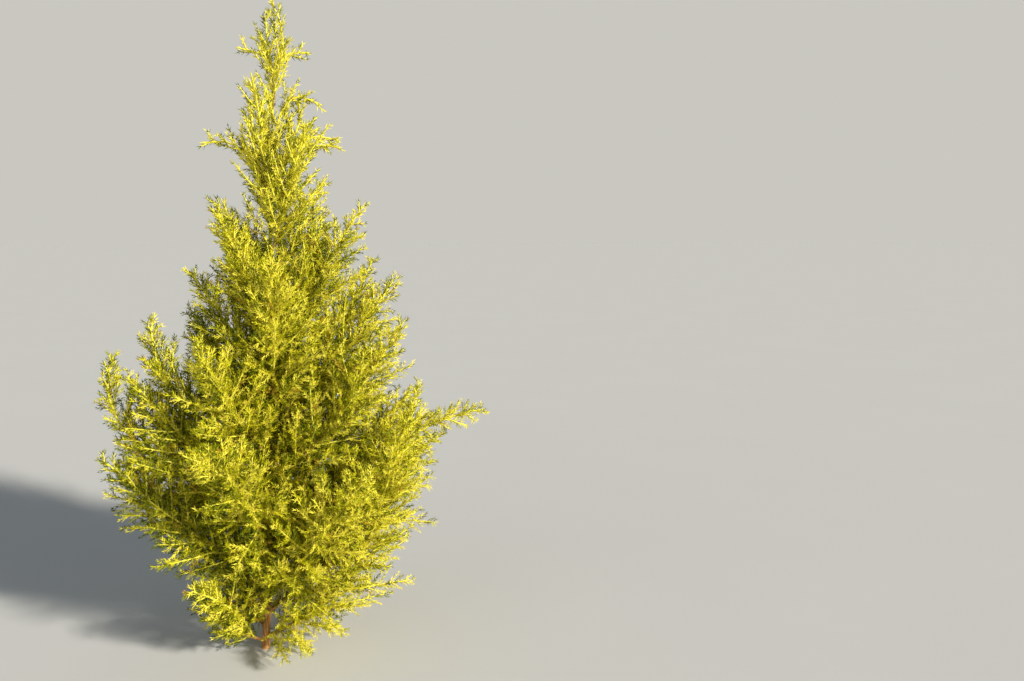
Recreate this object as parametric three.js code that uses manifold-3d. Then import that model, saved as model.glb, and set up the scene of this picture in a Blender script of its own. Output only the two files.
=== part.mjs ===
// A young rooted cypress about one metre tall: a whole trunk, the bare inner
// stretches of its boughs, and one mass of feathery foliage on each limb.
// Millimetres, +Z up, ground level at z = 0, the front towards -Y.

import * as THREE from "three";
import { mergeVertices } from "three/addons/utils/BufferGeometryUtils.js";
import Module from "manifold-3d";

const wasm = await Module();
wasm.setup();

// Trunk: height of its tip, lean to +X, taper and root flare
const TRUNK_TOP = 936;
const TRUNK_LEAN = 0.056;
const SWAY_X = { width: 3, length: 150 };
const SWAY_Y = { width: 5, length: 210 };
const TRUNK_RADIUS = 6;
const TRUNK_TIP_RADIUS = 1.1;
const FLARE_RADIUS = 1.2;
const FLARE_HEIGHT = 9;
const TRUNK_SIDES = 10;
const TRUNK_RINGS = 16;
const RING_CROWDING = 1.6;

// Outline of the crown: [height, reach to the left, reach to the right] from the trunk
const CROWN_PROFILE = [
  [0, 70, 90], [30, 95, 115], [80, 106, 185], [140, 120, 216], [180, 165, 235],
  [210, 205, 252], [260, 226, 262], [330, 228, 264], [390, 224, 262], [440, 210, 240],
  [510, 170, 214], [560, 122, 190], [640, 94, 176], [690, 84, 142], [730, 76, 98],
  [790, 60, 90], [850, 46, 74], [900, 34, 52], [950, 26, 38], [1004, 8, 8],
];
const CROWN_HEIGHT = 1008;

// Limbs: they leave the trunk in a spiral, spread low down and steep higher up
const RULED_LIMBS = 29;
const LOWEST_LIMB = 12;
const RULED_RANGE = 650;
const RULED_CROWDING = 1.35;
const FIRST_AZIMUTH = 190;
const GOLDEN_ANGLE = 137.508;
const TURN_SCATTER = 16;
const START_INCLINE = { low: 72, fall: 36, ease: 0.6, scatter: 7 };
const FINISH_INCLINE = { low: 22, fall: 8, scatter: 12 };
const MOST_NOD = 50;
const MOST_SWEEP = 0.5;
const LEAST_REACH = 0.86;
const LIMB_RISE = 120;
const SHORTEST_SPAN = 60;
const NOD_FROM = 0.35;
const LIMB_STEP = 6;
const MOST_STEPS = 120;

// Shoots that stand out of the crown, five low ones and those of the thin top:
// heights and lengths, and angles in degrees
const SHOOTS = [
  { height: 136, azimuth: 8, length: 345, incline: 62, nod: 8 },
  { height: 196, azimuth: -8, length: 385, incline: 59, nod: 32 },
  { height: 225, azimuth: 180, length: 350, incline: 58, nod: -70 },
  { height: 290, azimuth: 176, length: 290, incline: 47, nod: -46 },
  { height: 372, azimuth: -4, length: 285, incline: 47, nod: -6 },
  { height: 695, azimuth: 180, length: 140, incline: 18, nod: 94 },
  { height: 690, azimuth: 12, length: 156, incline: 27, nod: 72 },
  { height: 716, azimuth: 190, length: 126, incline: 16, nod: -14 },
  { height: 722, azimuth: -8, length: 130, incline: 28, nod: 78 },
  { height: 735, azimuth: -112, length: 150, incline: 24, nod: 30 },
  { height: 745, azimuth: 10, length: 126, incline: 32, nod: -30 },
  { height: 770, azimuth: 95, length: 140, incline: 28, nod: 40 },
  { height: 776, azimuth: 2, length: 126, incline: 13, nod: 108 },
  { height: 865, azimuth: 175, length: 78, incline: 6, nod: 90 },
  { height: 850, azimuth: -75, length: 90, incline: 26, nod: 30 },
  { height: 884, azimuth: 100, length: 72, incline: 24, nod: 30 },
  { height: 900, azimuth: 0, length: 48, incline: 30, nod: 70 },
  { height: 902, azimuth: 185, length: 66, incline: 12, nod: -8 },
  { height: 934, azimuth: 0, length: 52, incline: 20, nod: -44 },
];
const SHOOT_LIFT = 0.1;
const SHOOT_SWEEP = 0.2;

// Every second one of the low limbs shows a bare bough before its foliage starts
const BOUGH_COUNT = 11;
const BOUGH_EVERY = 2;
const BOUGH_SHARE = 0.2;
const LIMB_RADIUS = 1.3;
const LIMB_RADIUS_PER_LENGTH = 0.004;
const LIMB_TO_TRUNK = 0.75;
const LIMB_TIP_RADIUS = 0.8;
const BOUGH_SIDES = 5;
const STEM_SIDES = 3;
const BOUGH_RING_GAP = 18;
const STEM_RING_GAP = 34;
const CLEARANCE = 0.3;
const MERGE_GAP = 1e-5;
const SMOOTHING = 0.02;

// Sprays: toothed blades along each stem, each standing for several twigs
const SPRAY_GAP = 40;
const GAP_SCATTER = 0.15;
const FIRST_SPRAY = 12;
const LAST_SPRAY = 14;
const SPRAY_LONGEST = 135;
const SPRAY_SHORTEST = 26;
const SPRAY_SHARE = 0.7;
const LEAST_LENGTH = 0.85;
const TIP_SPRAY = 44;
const ROLL_SCATTER = 25;
const SPREAD = { least: 38, most: 54 };
const FACE_SCATTER = 1.2;
const SPRAY_WIDTH = 0.33;
const SPRAY_THICKNESS = 0.013;
const SPRAY_THINNEST = 1.2;
const SPRAY_ROOT = 1.3;
const SPRAY_NECK = 5;
const SPRAY_SUNK = 1;
const SPRAY_BEND = 0.1;
const TOOTHED_SHARE = 0.66;
const TOOTH_FORWARD = 1.2;
const TOOTH_TAPER = 0.7;
const VALLEY = 0.46;
const TEETH_FROM = [0, 36, 92];

// A spray tries these shares of its length and these turns until it has room
const SHRINKS = [1, 0.85, 0.7, 0.55, 0.4];
const TURNS = [0, 0.5, -0.5, 1, -1, 1.5];
const FRINGE = 25;
const SPACE_MARGIN = 1.6;
const LIMB_MARGIN = 1.5;
const GROUND_MARGIN = 2;

const BARK = { color: 0x8c5a36, roughness: 0.9, metalness: 0 };
const FOLIAGE = { color: 0xa8b324, roughness: 0.75, metalness: 0 };

// Seeded chance: the same keys always give the same number
const SEED = 14484;
const USE = { turn: 1, start: 2, finish: 3, nod: 4, sweep: 5, share: 6 };
const SPRAY_USE = { length: 100, roll: 300, spread: 500, gap: 900, face: 2100 };

function chance(...keys) {
  let mixed = SEED;
  for (const key of keys) {
    mixed = Math.imul(mixed ^ (key + 40503), 0x9e3779b1);
    mixed ^= mixed >>> 15;
    mixed = Math.imul(mixed, 0x85ebca6b);
    mixed ^= mixed >>> 13;
  }
  return (mixed >>> 0) / 4294967296;
}

function between(low, high, ...keys) {
  return low + (high - low) * chance(...keys);
}

const radians = THREE.MathUtils.degToRad;

// The trunk's centre line and radius at a height
function trunkAxis(z) {
  const x = TRUNK_LEAN * z + SWAY_X.width * Math.sin(z / SWAY_X.length);
  return new THREE.Vector3(x, SWAY_Y.width * Math.sin(z / SWAY_Y.length), z);
}

function trunkRadius(z) {
  const left = 1 - Math.min(1, z / TRUNK_TOP);
  const flare = FLARE_RADIUS * Math.exp(-z / FLARE_HEIGHT);
  return TRUNK_TIP_RADIUS + (TRUNK_RADIUS - TRUNK_TIP_RADIUS) * left + flare;
}

// The crown's radius about the trunk at a height, from its left reach round to its right one
function crownRadius(z, azimuth) {
  const height = THREE.MathUtils.clamp(z, 0, CROWN_HEIGHT);
  const upper = Math.max(1, CROWN_PROFILE.findIndex(([level]) => level >= height));
  const [z0, left0, right0] = CROWN_PROFILE[upper - 1];
  const [z1, left1, right1] = CROWN_PROFILE[upper];
  const share = (height - z0) / (z1 - z0);
  const left = left0 + (left1 - left0) * share;
  const right = right0 + (right1 - right0) * share;
  return (right + left) / 2 + ((right - left) / 2) * Math.cos(azimuth);
}

function fromTrunk(point) {
  const axis = trunkAxis(point.z);
  const x = point.x - axis.x;
  const y = point.y - axis.y;
  return { distance: Math.hypot(x, y), azimuth: Math.atan2(y, x) };
}

function heading(incline, azimuth) {
  const level = Math.sin(incline);
  return new THREE.Vector3(level * Math.cos(azimuth), level * Math.sin(azimuth), Math.cos(incline));
}

// A limb's route: it turns up from its start and its end may nod over
function walk(limb, stop) {
  const points = [limb.root.clone()];
  for (let step = 0; step < MOST_STEPS; step += 1) {
    const run = (step + 0.5) * LIMB_STEP;
    const t = run / limb.span;
    const nodded = Math.max(0, t - NOD_FROM) / (1 - NOD_FROM);
    const risen = (limb.finish - limb.start) * Math.min(1, t);
    const incline = limb.start + risen + limb.nod * nodded ** 2;
    const forward = heading(incline, limb.azimuth + limb.sweep * t);
    const point = points[points.length - 1].clone().addScaledVector(forward, LIMB_STEP);
    if (stop(point, run)) {
      break;
    }
    points.push(point);
  }
  return points;
}

function ruledLimb(n) {
  const u = n / (RULED_LIMBS - 1);
  const height = LOWEST_LIMB + RULED_RANGE * u ** RULED_CROWDING;
  const turn = between(-TURN_SCATTER, TURN_SCATTER, n, USE.turn);
  const azimuth = radians(FIRST_AZIMUTH + n * GOLDEN_ANGLE + turn);
  const tilt = between(-START_INCLINE.scatter, START_INCLINE.scatter, n, USE.start);
  const start = radians(START_INCLINE.low - START_INCLINE.fall * u ** START_INCLINE.ease + tilt);
  const lift = between(-FINISH_INCLINE.scatter, FINISH_INCLINE.scatter, n, USE.finish);
  const finish = radians(FINISH_INCLINE.low - FINISH_INCLINE.fall * u + lift);
  const share = between(LEAST_REACH, 1, n, USE.share);
  const width = crownRadius(height + LIMB_RISE, azimuth) * share;
  const limb = {
    root: trunkAxis(height),
    azimuth,
    start,
    finish,
    nod: radians(between(0, MOST_NOD, n, USE.nod)),
    sweep: between(-MOST_SWEEP, MOST_SWEEP, n, USE.sweep),
    span: Math.max(SHORTEST_SPAN, width / Math.sin((start + finish) / 2)),
  };
  limb.route = walk(limb, (point) => {
    return fromTrunk(point).distance > share * crownRadius(point.z, azimuth);
  });
  return limb;
}

function shootLimb({ height, azimuth, length, incline, nod }) {
  const limb = {
    root: trunkAxis(height),
    azimuth: radians(azimuth),
    start: radians(incline),
    finish: radians(incline) - SHOOT_LIFT,
    nod: radians(nod),
    sweep: SHOOT_SWEEP,
    span: length,
  };
  limb.route = walk(limb, (point, run) => run > length);
  return limb;
}

// Place and direction at a distance along a route
function along(route, distance) {
  const index = Math.min(Math.floor(distance / LIMB_STEP), route.length - 2);
  const share = Math.min(1, distance / LIMB_STEP - index);
  const forward = route[index + 1].clone().sub(route[index]);
  const point = route[index].clone().addScaledVector(forward, share);
  return { point, forward: forward.normalize() };
}

function growLimbs() {
  const limbs = [];
  for (let n = 0; n < RULED_LIMBS; n += 1) {
    limbs.push(ruledLimb(n));
  }
  limbs.push(...SHOOTS.map(shootLimb));
  limbs.forEach((limb, n) => {
    limb.index = n;
    limb.length = LIMB_STEP * (limb.route.length - 1);
    const thickness = LIMB_RADIUS + LIMB_RADIUS_PER_LENGTH * limb.length;
    limb.radius = Math.min(thickness, LIMB_TO_TRUNK * trunkRadius(limb.root.z));
    limb.hasBough = n % BOUGH_EVERY === 0 && n < BOUGH_COUNT * BOUGH_EVERY;
    limb.bare = limb.hasBough ? Math.round((BOUGH_SHARE * limb.length) / LIMB_STEP) * LIMB_STEP : 0;
    limb.sphere = new THREE.Sphere().setFromPoints(limb.route);
  });
  return limbs;
}

function limbRadius(limb, distance) {
  const share = distance / limb.length;
  return limb.radius + (LIMB_TIP_RADIUS - limb.radius) * share;
}

// A closed three.js geometry as a solid, and back
function solidOf(geometry) {
  geometry.deleteAttribute("normal");
  geometry.deleteAttribute("uv");
  const merged = mergeVertices(geometry, MERGE_GAP);
  return new wasm.Manifold(new wasm.Mesh({
    numProp: 3,
    vertProperties: new Float32Array(merged.attributes.position.array),
    triVerts: new Uint32Array(merged.index.array),
  }));
}

function geometryOf(solid) {
  const mesh = solid.getMesh();
  const geometry = new THREE.BufferGeometry();
  geometry.setAttribute("position", new THREE.BufferAttribute(new Float32Array(mesh.vertProperties), 3));
  geometry.setIndex(new THREE.BufferAttribute(new Uint32Array(mesh.triVerts), 1));
  geometry.computeVertexNormals();
  return geometry;
}

// The trunk, level at its foot; grown by a clearance it trims the limbs' roots
function trunkSolid(grown) {
  const geometry = new THREE.CylinderGeometry(1, 1, 1, TRUNK_SIDES, TRUNK_RINGS).rotateX(Math.PI / 2);
  const position = geometry.attributes.position;
  for (let i = 0; i < position.count; i += 1) {
    const z = (TRUNK_TOP + grown) * (position.getZ(i) + 0.5) ** RING_CROWDING;
    const centre = trunkAxis(z);
    const radius = trunkRadius(z) + grown;
    position.setXYZ(i, centre.x + position.getX(i) * radius, centre.y + position.getY(i) * radius, z);
  }
  return solidOf(geometry);
}

// A tapering stretch of a limb: a cylinder whose rings are set out along its route
function limbSolid(limb, from, to, ringGap, sides) {
  const stretches = Math.max(1, Math.round((to - from) / ringGap));
  const geometry = new THREE.CylinderGeometry(1, 1, 1, sides, stretches);
  const position = geometry.attributes.position;
  const sideways = new THREE.Vector3(-Math.sin(limb.azimuth), Math.cos(limb.azimuth), 0);
  for (let i = 0; i < position.count; i += 1) {
    const distance = from + (to - from) * (position.getY(i) + 0.5);
    const { point, forward } = along(limb.route, distance);
    const radius = limbRadius(limb, distance);
    const side = sideways.clone().projectOnPlane(forward).normalize();
    const up = forward.clone().cross(side);
    point.addScaledVector(side, position.getX(i) * radius);
    point.addScaledVector(up, -position.getZ(i) * radius);
    position.setXYZ(i, point.x, point.y, point.z);
  }
  return solidOf(geometry);
}

function distanceTo(point, limb, from, to) {
  const nearest = new THREE.Vector3();
  const line = new THREE.Line3();
  let distance = Infinity;
  for (let i = from / LIMB_STEP; i < to / LIMB_STEP; i += 1) {
    line.set(limb.route[i], limb.route[i + 1]);
    line.closestPointToPoint(point, true, nearest);
    distance = Math.min(distance, nearest.distanceTo(point));
  }
  return distance;
}

// A mass keeps to the space nearer its own stem than any other, inside the crown
// or close to its stem, clear of the trunk and of every bare bough
function inOwnSpace(point, own, limbs) {
  const { distance, azimuth } = fromTrunk(point);
  const reach = distanceTo(point, own, own.bare, own.length);
  if (reach > FRINGE && distance > crownRadius(point.z, azimuth)) {
    return false;
  }
  if (point.z < GROUND_MARGIN || point.z > CROWN_HEIGHT) {
    return false;
  }
  if (point.z < TRUNK_TOP + LIMB_MARGIN && distance < trunkRadius(point.z) + LIMB_MARGIN) {
    return false;
  }
  return limbs.every((limb) => {
    if (limb.sphere.distanceToPoint(point) > reach + SPACE_MARGIN) {
      return true;
    }
    if (limb.bare > 0 && distanceTo(point, limb, 0, limb.bare) < limb.radius + LIMB_MARGIN) {
      return false;
    }
    return limb === own || distanceTo(point, limb, limb.bare, limb.length) > reach + SPACE_MARGIN;
  });
}

// One spray's outline: a rib with forward-pointing teeth on both sides
function sprayOutline(length) {
  const teeth = TEETH_FROM.filter((least) => length > least).length;
  const pitch = (TOOTHED_SHARE * length - SPRAY_NECK) / teeth;
  const side = [];
  for (let tooth = 0; tooth < teeth; tooth += 1) {
    const y = SPRAY_NECK + pitch * tooth;
    const width = SPRAY_WIDTH * length * (1 - TOOTH_TAPER * (tooth / teeth) ** 2);
    side.push([tooth === 0 ? SPRAY_ROOT : VALLEY * width, y]);
    side.push([width, y + TOOTH_FORWARD * pitch]);
  }
  const right = side.map(([x, y]) => new THREE.Vector2(x, y));
  const left = side.map(([x, y]) => new THREE.Vector2(-x, y)).reverse();
  return [new THREE.Vector2(0, -SPRAY_SUNK), ...right, new THREE.Vector2(0, length), ...left];
}

// Where a spray stands: its root, its way out of the stem and the way it faces
function sprayPlace(limb, index, distance) {
  const left = limb.length - distance;
  const { point, forward } = along(limb.route, distance);
  const side = new THREE.Vector3(forward.y, -forward.x, 0).normalize();
  const rolled = between(-ROLL_SCATTER, ROLL_SCATTER, limb.index, SPRAY_USE.roll + index);
  const roll = radians(index * GOLDEN_ANGLE + rolled);
  const spread = radians(between(SPREAD.least, SPREAD.most, limb.index, SPRAY_USE.spread + index));
  const out = side.clone().applyAxisAngle(forward, roll);
  const way = forward.clone().multiplyScalar(Math.cos(spread)).addScaledVector(out, Math.sin(spread));
  const level = new THREE.Vector3(-way.y, way.x, 0).normalize();
  const turn = between(-FACE_SCATTER, FACE_SCATTER, limb.index, SPRAY_USE.face + index);
  const face = level.applyAxisAngle(way, turn);
  const longest = Math.min(SPRAY_LONGEST, SPRAY_SHORTEST + SPRAY_SHARE * left);
  const length = longest * between(LEAST_LENGTH, 1, limb.index, SPRAY_USE.length + index);
  return { point, way, face, length };
}

// A spray's outline, with the matrix and bend that carry it to its place on the stem
function sprayShape({ point, way, face }, turn, length) {
  const turned = face.clone().applyAxisAngle(way, turn);
  const across = way.clone().cross(turned);
  const matrix = new THREE.Matrix4().makeBasis(across, way, turned).setPosition(point);
  const bend = (y) => (SPRAY_BEND * y * y) / length;
  return { length, matrix, bend, outline: sprayOutline(length) };
}

function sprayFits(shape, own, limbs) {
  const tests = [];
  shape.outline.forEach((corner, i) => {
    const next = shape.outline[(i + 1) % shape.outline.length];
    tests.push([corner.x, corner.y], [(corner.x + next.x) / 2, (corner.y + next.y) / 2]);
    tests.push([corner.x / 2, corner.y], [0, corner.y]);
  });
  return tests.every(([x, y]) => {
    const point = new THREE.Vector3(x, y, shape.bend(y)).applyMatrix4(shape.matrix);
    return y < LIMB_MARGIN || inOwnSpace(point, own, limbs);
  });
}

function spraySolid({ length, matrix, bend, outline }) {
  const thickness = Math.max(SPRAY_THINNEST, SPRAY_THICKNESS * length);
  const blade = new THREE.ExtrudeGeometry(new THREE.Shape(outline), {
    depth: thickness,
    bevelEnabled: false,
    steps: 1,
  });
  blade.translate(0, 0, -thickness / 2);
  const position = blade.attributes.position;
  for (let i = 0; i < position.count; i += 1) {
    position.setZ(i, position.getZ(i) + bend(position.getY(i)));
  }
  return solidOf(blade.applyMatrix4(matrix));
}

// The largest spray that has room at a place, or none
function growSpray(place, limb, limbs) {
  for (const shrink of SHRINKS) {
    for (const turn of TURNS) {
      const shape = sprayShape(place, turn, Math.max(SPRAY_SHORTEST, place.length * shrink));
      if (sprayFits(shape, limb, limbs)) {
        return [spraySolid(shape)];
      }
    }
  }
  return [];
}

// The places of a mass's sprays, the last one carrying on from the stem's tip
function sprayPlaces(limb) {
  const places = [];
  let distance = limb.bare + FIRST_SPRAY;
  for (let index = 0; distance < limb.length - LAST_SPRAY; index += 1) {
    places.push(sprayPlace(limb, index, distance));
    const scatter = between(-GAP_SCATTER, GAP_SCATTER, limb.index, SPRAY_USE.gap + index);
    distance += SPRAY_GAP * (1 + scatter);
  }
  const { point, forward } = along(limb.route, limb.length - SPRAY_NECK);
  const face = new THREE.Vector3(-forward.y, forward.x, 0).normalize();
  places.push({ point, way: forward, face, length: TIP_SPRAY });
  return places;
}

// Fused foliage: one body, with no loose scraps and no sealed hollows
function fuse(solids) {
  const bodies = wasm.Manifold.union(solids).decompose();
  const largest = bodies.reduce((best, body) => (body.volume() > best.volume() ? body : best));
  return largest.simplify(SMOOTHING);
}

function nodeOf(name, solid, root, finish) {
  const mesh = new THREE.Mesh(
    geometryOf(solid).translate(-root.x, -root.y, -root.z),
    new THREE.MeshStandardMaterial(finish),
  );
  mesh.name = name;
  mesh.position.copy(root);
  return mesh;
}

function numbered(word, n) {
  return `${word}_${String(n).padStart(2, "0")}`;
}

// The whole plant
const tree = new THREE.Group();
tree.add(nodeOf("trunk", trunkSolid(0), new THREE.Vector3(), BARK));

const limbs = growLimbs();
const trunkTrimmer = trunkSolid(CLEARANCE);

limbs.filter((limb) => limb.hasBough).forEach((limb, n) => {
  const bough = limbSolid(limb, 0, limb.bare, BOUGH_RING_GAP, BOUGH_SIDES).subtract(trunkTrimmer);
  tree.add(nodeOf(numbered("bough", n + 1), bough, limb.root, BARK));
});

limbs.forEach((limb, n) => {
  const from = limb.hasBough ? limb.bare + CLEARANCE : 0;
  const stem = limbSolid(limb, from, limb.length, STEM_RING_GAP, STEM_SIDES).subtract(trunkTrimmer);
  const sprays = sprayPlaces(limb).flatMap((place) => growSpray(place, limb, limbs));
  const mass = fuse([stem, ...sprays]);
  tree.add(nodeOf(numbered("foliage", n + 1), mass, along(limb.route, from).point, FOLIAGE));
});

export default tree;
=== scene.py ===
import math
import bpy
import numpy as np
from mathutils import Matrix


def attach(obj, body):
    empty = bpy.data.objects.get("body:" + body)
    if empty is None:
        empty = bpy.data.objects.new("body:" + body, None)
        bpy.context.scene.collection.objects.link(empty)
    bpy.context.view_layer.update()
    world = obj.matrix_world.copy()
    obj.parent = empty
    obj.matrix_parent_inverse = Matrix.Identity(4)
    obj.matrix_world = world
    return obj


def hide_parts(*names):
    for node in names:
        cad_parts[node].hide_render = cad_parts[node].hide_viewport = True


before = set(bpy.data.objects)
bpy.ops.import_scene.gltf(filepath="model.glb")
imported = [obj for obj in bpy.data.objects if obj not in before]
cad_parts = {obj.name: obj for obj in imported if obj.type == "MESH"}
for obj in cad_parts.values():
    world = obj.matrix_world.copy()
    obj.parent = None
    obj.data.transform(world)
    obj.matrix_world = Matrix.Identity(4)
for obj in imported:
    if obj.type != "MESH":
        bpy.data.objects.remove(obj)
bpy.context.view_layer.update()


# Trunk: the one thin leader of a rooted sapling, wood under orange-brown bark that
# splits into long shallow strips. It stands on a flat cut at ground level, with a
# slight root flare, and leans and sways a little as it tapers to its green tip.
TRUNK_TOP = 0.936
TRUNK_LEAN = 0.056
SWAY_X_WIDTH = 0.003
SWAY_X_LENGTH = 0.150
SWAY_Y_WIDTH = 0.005
SWAY_Y_LENGTH = 0.210
TRUNK_RADIUS = 0.006
TRUNK_TIP_RADIUS = 0.0011
FLARE_RADIUS = 0.0012
FLARE_HEIGHT = 0.009
TRUNK_SIDES = 32
TRUNK_CUTS = (20, 14)
TRUNK_PLACES = 400
TRUNK_BARK_DRAW = 11
STRIP_COUNT = 9
STRIP_LENGTH = 0.024
STRIP_RELIEF = 0.075
STRIP_LEVEL = 0.8
STRIP_TWIST = 1.4
FLAKE_SHARE = 0.5
FLAKE_FINENESS = (2, 2.7)
SEAM_WAY = (0.03, 1.0, 0.02)
LEVEL_WITHIN = 1e-4
SMOOTH_BELOW = 60
BARK_PATCHINESS = 0.35
GREEN_FROM = 0.26
GREEN_ABOVE = 0.60
GREEN_PATCHINESS = 0.12
COLOUR_RESULT = 2

SEED = 14484
MASK = 0xFFFFFFFF


def chance(*keys):
    """A seeded number from 0 to 1: the same keys always give the same one."""
    mixed = SEED
    for key in keys:
        mixed = ((mixed ^ (key + 40503)) * 0x9E3779B1) & MASK
        mixed = mixed ^ (mixed >> 15)
        mixed = (mixed * 0x85EBCA6B) & MASK
        mixed = mixed ^ (mixed >> 13)
    return mixed / 4294967296


def between(low, high, *keys):
    return low + (high - low) * chance(*keys)


def unit(vectors):
    return vectors / np.linalg.norm(vectors, axis=-1, keepdims=True)


def trunk_axis(z):
    x = TRUNK_LEAN * z + SWAY_X_WIDTH * np.sin(z / SWAY_X_LENGTH)
    return np.stack([x, SWAY_Y_WIDTH * np.sin(z / SWAY_Y_LENGTH), z], axis=-1)


def trunk_radius(z):
    left = 1 - np.minimum(1, z / TRUNK_TOP)
    flare = FLARE_RADIUS * np.exp(-z / FLARE_HEIGHT)
    return TRUNK_TIP_RADIUS + (TRUNK_RADIUS - TRUNK_TIP_RADIUS) * left + flare


def rippled(around, along, key):
    """Smooth seeded noise on a tube: around counts strips, along counts strip lengths."""
    column = np.floor(around).astype(int)
    row = np.floor(along).astype(int)
    u = around - column
    v = along - row
    u = u * u * (3 - 2 * u)
    v = v * v * (3 - 2 * v)
    here = column % STRIP_COUNT
    beside = (column + 1) % STRIP_COUNT
    low = chance(here, row, key) * (1 - u) + chance(beside, row, key) * u
    high = chance(here, row + 1, key) * (1 - u) + chance(beside, row + 1, key) * u
    return low * (1 - v) + high * v


def ringed_cylinder(name, sides, cuts):
    """An upright unit cylinder, cut into rings by subdividing its upright edges."""
    bpy.ops.object.select_all(action="DESELECT")
    bpy.ops.mesh.primitive_cylinder_add(vertices=sides, radius=1, depth=1)
    piece = bpy.context.object
    piece.name = name
    bpy.ops.object.mode_set(mode="EDIT")
    bpy.ops.mesh.select_mode(type="EDGE")
    for count in cuts:
        bpy.ops.mesh.select_all(action="DESELECT")
        bpy.ops.object.mode_set(mode="OBJECT")
        for edge in piece.data.edges:
            low, high = (piece.data.vertices[corner].co.z for corner in edge.vertices)
            edge.select = abs(high - low) > LEVEL_WITHIN
        bpy.ops.object.mode_set(mode="EDIT")
        bpy.ops.mesh.subdivide(number_cuts=count)
    bpy.ops.object.mode_set(mode="OBJECT")
    return piece


def shape_limb(piece, centres, ways, radii, key):
    """Sets a ringed cylinder out along a limb, square to its ways, with its bark's relief."""
    points = np.empty(3 * len(piece.data.vertices))
    piece.data.vertices.foreach_get("co", points)
    points = points.reshape(-1, 3)
    share = points[:, 2] + 0.5
    angle = np.arctan2(points[:, 1], points[:, 0])
    place = share * (len(centres) - 1)
    index = np.minimum(place.astype(int), len(centres) - 2)
    part = (place - index)[:, None]
    centre = centres[index] * (1 - part) + centres[index + 1] * part
    forward = unit(ways[index] * (1 - part) + ways[index + 1] * part)
    side = unit(np.cross(forward, SEAM_WAY))
    front = np.cross(forward, side)
    radius = np.interp(share, np.linspace(0, 1, len(radii)), radii)
    length = np.linalg.norm(np.diff(centres, axis=0), axis=1).sum()
    run = share * length / STRIP_LENGTH
    around = (angle / math.tau + 0.5) * STRIP_COUNT + STRIP_TWIST * run / STRIP_COUNT
    ridge = 1 - 2 * np.abs(rippled(around, run, key) - 0.5)
    flake = rippled(around * FLAKE_FINENESS[0], run * FLAKE_FINENESS[1], key + 1)
    radius = radius * (1 + STRIP_RELIEF * (ridge + FLAKE_SHARE * flake - STRIP_LEVEL))
    out = side * np.cos(angle)[:, None] + front * np.sin(angle)[:, None]
    piece.data.vertices.foreach_set("co", (centre + out * radius[:, None]).ravel())
    bpy.ops.object.select_all(action="DESELECT")
    piece.select_set(True)
    bpy.context.view_layer.objects.active = piece
    bpy.ops.object.mode_set(mode="EDIT")
    bpy.ops.mesh.select_all(action="SELECT")
    bpy.ops.mesh.normals_make_consistent(inside=False)
    bpy.ops.object.mode_set(mode="OBJECT")
    bpy.ops.object.shade_smooth_by_angle(angle=math.radians(SMOOTH_BELOW))


class Wire:
    """A socket in a material, on which + - * add Math nodes."""

    def __init__(self, nodes, socket=None):
        self.nodes = nodes
        self.socket = socket

    def node(self, kind, settings, inputs, output=0):
        made = self.nodes.new(kind)
        stops = settings.pop("stops", [])
        for name, value in settings.items():
            setattr(made, name, value)
        for position, colour in stops[2:]:
            made.color_ramp.elements.new(position)
        for element, (position, colour) in zip(made.color_ramp.elements if stops else [], stops):
            element.position = position
            element.color = (*colour, 1)
        for name, value in inputs.items():
            if isinstance(value, Wire):
                self.nodes.id_data.links.new(value.socket, made.inputs[name])
            else:
                made.inputs[name].default_value = value
        return Wire(self.nodes, made.outputs[output])

    def mixed(self, factor, first, second):
        """The colour that a factor finds between two others."""
        inputs = {"Factor": factor, "A": first, "B": second}
        return self.node("ShaderNodeMix", {"data_type": "RGBA"}, inputs, COLOUR_RESULT)

    def maths(self, operation, first, second):
        return self.node("ShaderNodeMath", {"operation": operation}, {0: first, 1: second})

    def __add__(self, other):
        return self.maths("ADD", self, other)

    def __radd__(self, other):
        return self.maths("ADD", other, self)

    def __sub__(self, other):
        return self.maths("SUBTRACT", self, other)

    def __rsub__(self, other):
        return self.maths("SUBTRACT", other, self)

    def __mul__(self, other):
        return self.maths("MULTIPLY", self, other)

    def __rmul__(self, other):
        return self.maths("MULTIPLY", other, self)


def new_material(name, roughness, specular):
    """A material, an empty wire to build on, and its shader."""
    made = bpy.data.materials.new(name)
    made.use_nodes = True
    shader = made.node_tree.nodes["Principled BSDF"]
    shader.inputs["Roughness"].default_value = roughness
    shader.inputs["Specular IOR Level"].default_value = specular
    return made, Wire(made.node_tree.nodes), shader


def join_up(wire, socket):
    wire.nodes.id_data.links.new(wire.socket, socket)


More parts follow.
